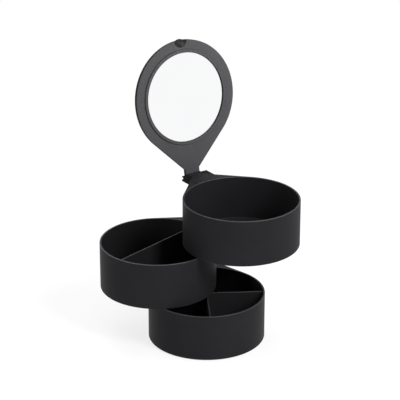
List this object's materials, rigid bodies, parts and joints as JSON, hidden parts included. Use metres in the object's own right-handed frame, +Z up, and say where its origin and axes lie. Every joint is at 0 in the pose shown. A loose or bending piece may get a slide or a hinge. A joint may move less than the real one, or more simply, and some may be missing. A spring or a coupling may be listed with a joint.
{
  "type": "makeup organizer with mirror",
  "caption": "Desk make-up organizer of round trays that swivel on one corner shaft, with a teardrop mirror lid hinged at the same corner.",
  "frame": {"origin": "where the swivel axis meets the surface that the organizer stands on", "axes": "+Z up along the swivel axis, -Y from that axis towards the middle of the base tray, +X to the right for someone facing the trays"},
  "size_m": [0.2219, 0.2073, 0.3103],
  "materials": {
    "charcoal_plastic": "fine matt moulded polypropylene",
    "lid_plastic": "fine matt moulded polypropylene",
    "mirror_glass": "silvered behind, polished",
    "foam_pad": "closed-cell foam with adhesive",
    "steel": "zinc plated",
    "natural_acetal": "turned, unpigmented",
    "foot_rubber": "matt"
  },
  "bodies": {
    "base": {"base_tray": "charcoal_plastic", "base_divider": "charcoal_plastic", "base_lug_cover": "charcoal_plastic", "rubber_feet": "foot_rubber", "pivot_shaft": "steel", "shaft_screw": "steel", "shaft_screw_washer": "steel", "lower_thrust_washer": "natural_acetal", "tension_washer": "steel", "spring_washer": "steel", "shaft_nut": "steel"},
    "middle": {"middle_tray": "charcoal_plastic", "middle_divider": "charcoal_plastic", "middle_tray_bushes": "natural_acetal", "upper_thrust_washer": "natural_acetal"},
    "top": {"top_tray": "charcoal_plastic", "top_tray_bushes": "natural_acetal", "hinge_bracket": "charcoal_plastic", "bracket_screws": "steel"},
    "lid": {"mirror_frame": "lid_plastic", "lid_cover": "lid_plastic", "mirror_glass": "mirror_glass", "mirror_pad": "foam_pad", "lid_hinge_pin": "steel"}
  },
  "joints": [
    {"name": "middle_swivel", "type": "hinge", "parent": "base", "child": "middle", "pos_m": [0, 0, 0.08015], "axis": [0, 0, 1], "continuous": true},
    {"name": "top_swivel", "type": "hinge", "parent": "base", "child": "top", "pos_m": [0, 0, 0.13325], "axis": [0, 0, 1], "continuous": true},
    {"name": "lid_hinge", "type": "hinge", "parent": "top", "child": "lid", "pos_m": [-0.00773, 0.01286, 0.1563], "axis": [0.8572, 0.515, 0], "range_deg": [0, 99.2]}
  ]
}
